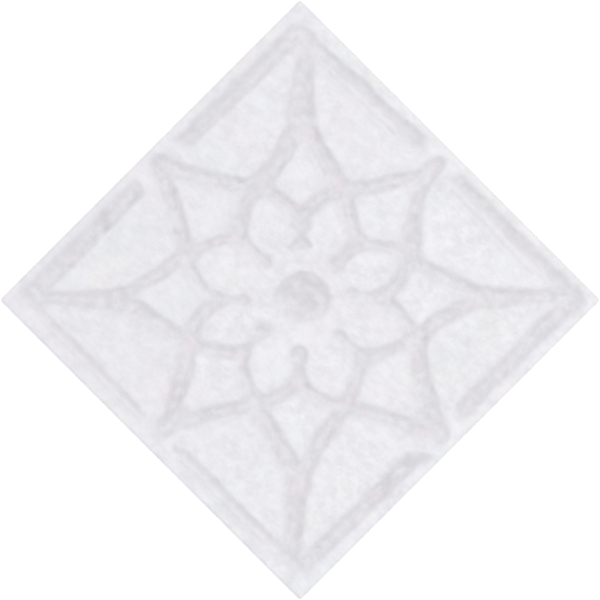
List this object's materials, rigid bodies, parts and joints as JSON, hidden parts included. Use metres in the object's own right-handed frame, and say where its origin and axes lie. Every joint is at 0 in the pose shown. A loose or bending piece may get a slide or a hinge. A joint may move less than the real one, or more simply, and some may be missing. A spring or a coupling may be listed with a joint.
{
  "type": "decorative insert tile",
  "caption": "Small square glazed ceramic insert tile with a star, rosette and border sunk into its face, bedded diagonally between larger tiles as an accent.",
  "frame": {"origin": "middle of the tile's back, on the plane that is bedded", "axes": "+Z out of the glazed face, X and Y along the tile's sides"},
  "size_m": [0.07, 0.07, 0.008],
  "materials": {
    "glaze": "satin"
  },
  "bodies": {
    "root": {"insert_tile": "glaze"}
  },
  "joints": []
}
